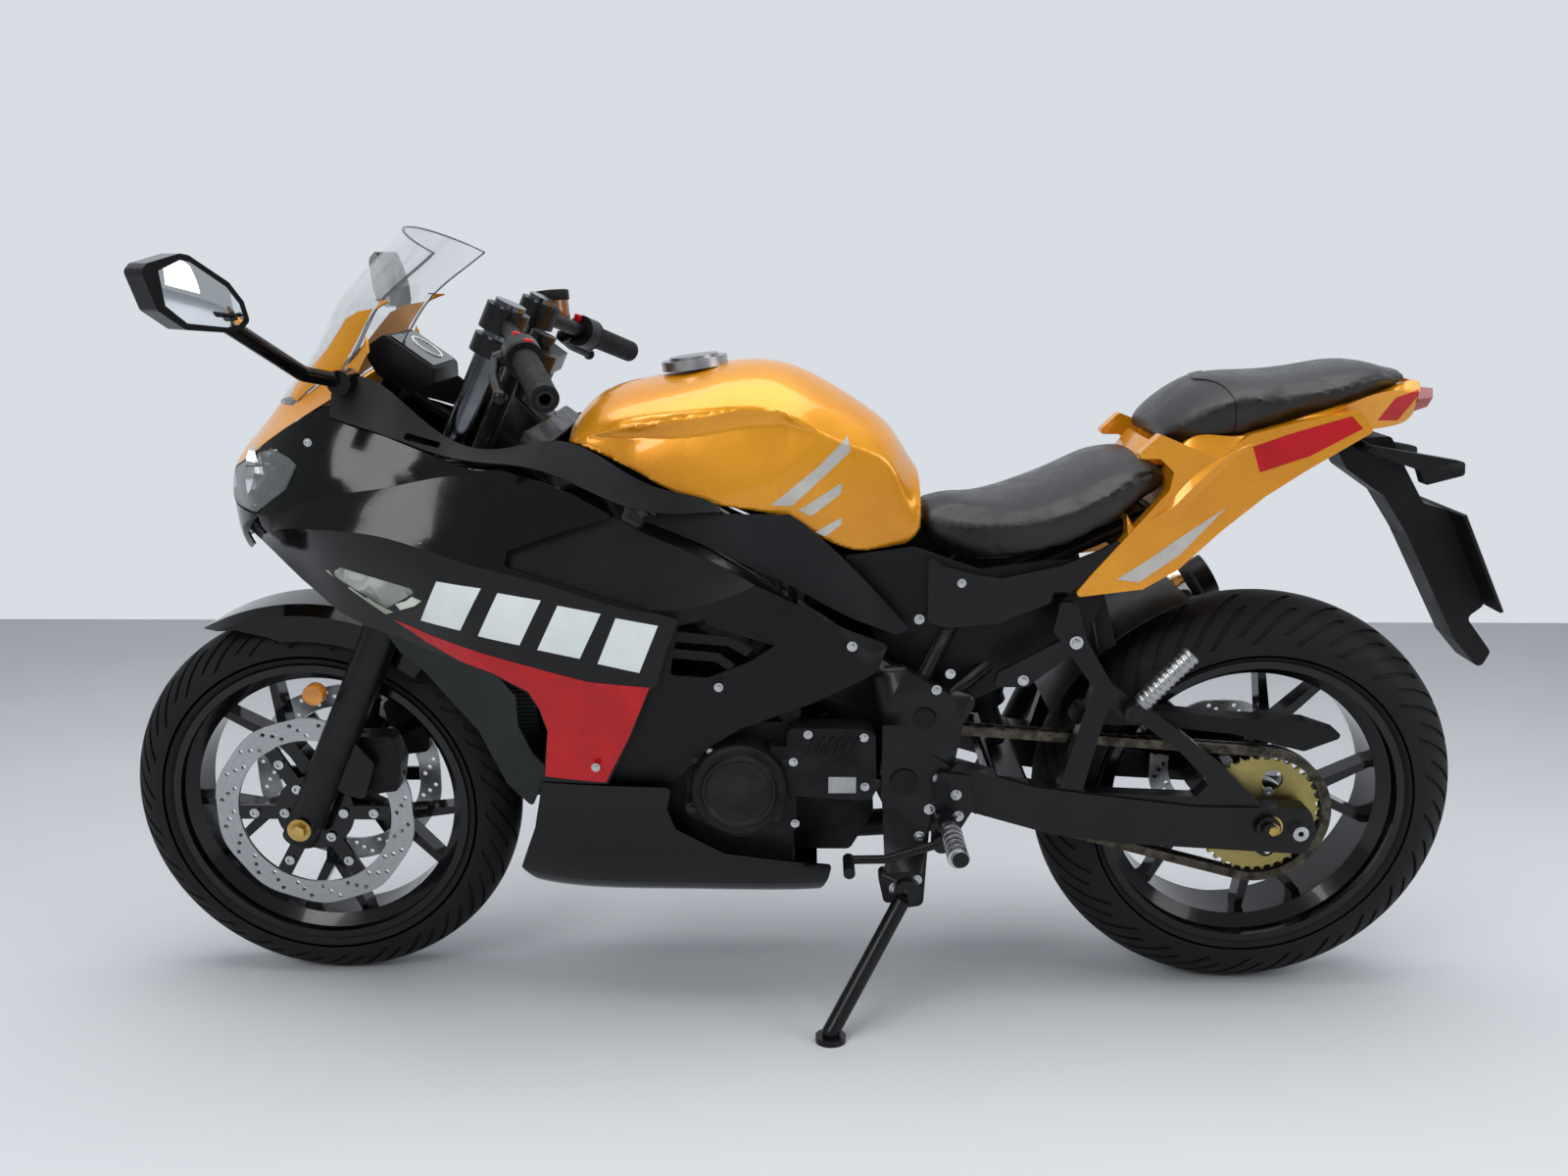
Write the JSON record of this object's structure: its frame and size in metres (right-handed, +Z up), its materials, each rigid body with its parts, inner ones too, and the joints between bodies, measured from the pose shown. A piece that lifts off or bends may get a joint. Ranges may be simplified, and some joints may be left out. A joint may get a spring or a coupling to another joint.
{
  "type": "sport motorcycle",
  "caption": "Faired sport motorcycle leaning on its side stand, with turning wheels, steering and a folding stand.",
  "frame": {"origin": "bottom centre of the bounding box, on the floor the parked bike stands on", "axes": "+X to the rear, -Y to the bike's left (the side it leans to), +Z up"},
  "size_m": [2.0065, 0.8262, 1.1415],
  "materials": {
    "alloy": "cast and machined",
    "black_gloss": "gloss black",
    "black_matte": "matte black",
    "clear": "clear acrylic",
    "dark_alloy": "black coated",
    "gold_steel": "zinc plated",
    "mirror_shell": "gloss black",
    "painted_metal": "satin black paint",
    "plate_white": "plain",
    "red_lens": "red lens",
    "rubber": "rubber",
    "seat_leather": "vinyl",
    "steel": "brushed",
    "tank_paint": "metallic amber paint",
    "tyre": "rubber",
    "yellow_paint": "metallic amber paint"
  },
  "bodies": {
    "chassis": {"frame": "painted_metal", "engine": "dark_alloy", "radiator": "dark_alloy", "exhaust": "painted_metal", "swingarm": "painted_metal", "rear_shock": "steel", "drive_chain": "steel", "chain_guard": "black_matte", "rear_caliper": "alloy", "fuel_tank": "tank_paint", "fuel_cap": "alloy", "rider_seat": "seat_leather", "pillion_seat": "seat_leather", "tail_cowl": "yellow_paint", "side_fairings": "black_gloss", "under_fairings": "black_matte", "inner_fairings": "black_matte", "stand_spools": "steel", "belly_pan": "black_gloss", "dash_panels": "black_matte", "knee_panels": "black_matte", "side_covers": "black_gloss", "nose_cowl": "yellow_paint", "headlights": "clear", "windscreen": "clear", "gauge": "black_matte", "mirrors": "mirror_shell", "turn_signals": "clear", "taillight": "red_lens", "rear_mudguard": "black_matte", "number_plate": "plate_white", "rider_footrests": "alloy", "pillion_footrests": "painted_metal"},
    "steering": {"fork_yokes": "dark_alloy", "fork_stanchions": "steel", "fork_sliders": "dark_alloy", "handlebars": "dark_alloy", "grips": "rubber", "controls": "dark_alloy", "front_fender": "black_gloss", "front_calipers": "alloy"},
    "front_wheel": {"front_tyre": "tyre", "front_rim": "dark_alloy", "front_discs": "steel"},
    "rear_wheel": {"rear_tyre": "tyre", "rear_rim": "dark_alloy", "rear_disc": "steel", "rear_sprocket": "gold_steel"},
    "stand": {"side_stand": "painted_metal"}
  },
  "joints": [
    {"name": "steering_turn", "type": "hinge", "parent": "chassis", "child": "steering", "pos_m": [-0.40714, 0.024, 0.84528], "axis": [0.4226, -0.1496, 0.8939], "range_deg": [-28, 28]},
    {"name": "front_wheel_spin", "type": "hinge", "parent": "steering", "child": "front_wheel", "pos_m": [-0.71143, 0.11713, 0.28875], "axis": [0, 0.9863, 0.165], "continuous": true},
    {"name": "rear_wheel_spin", "type": "hinge", "parent": "chassis", "child": "rear_wheel", "pos_m": [0.66857, 0.11444, 0.3048], "axis": [0, 0.9863, 0.165], "continuous": true},
    {"name": "stand_fold", "type": "hinge", "parent": "chassis", "child": "stand", "pos_m": [0.16057, -0.03837, 0.19098], "axis": [0, -0.9863, -0.165], "range_deg": [0, 100]}
  ]
}
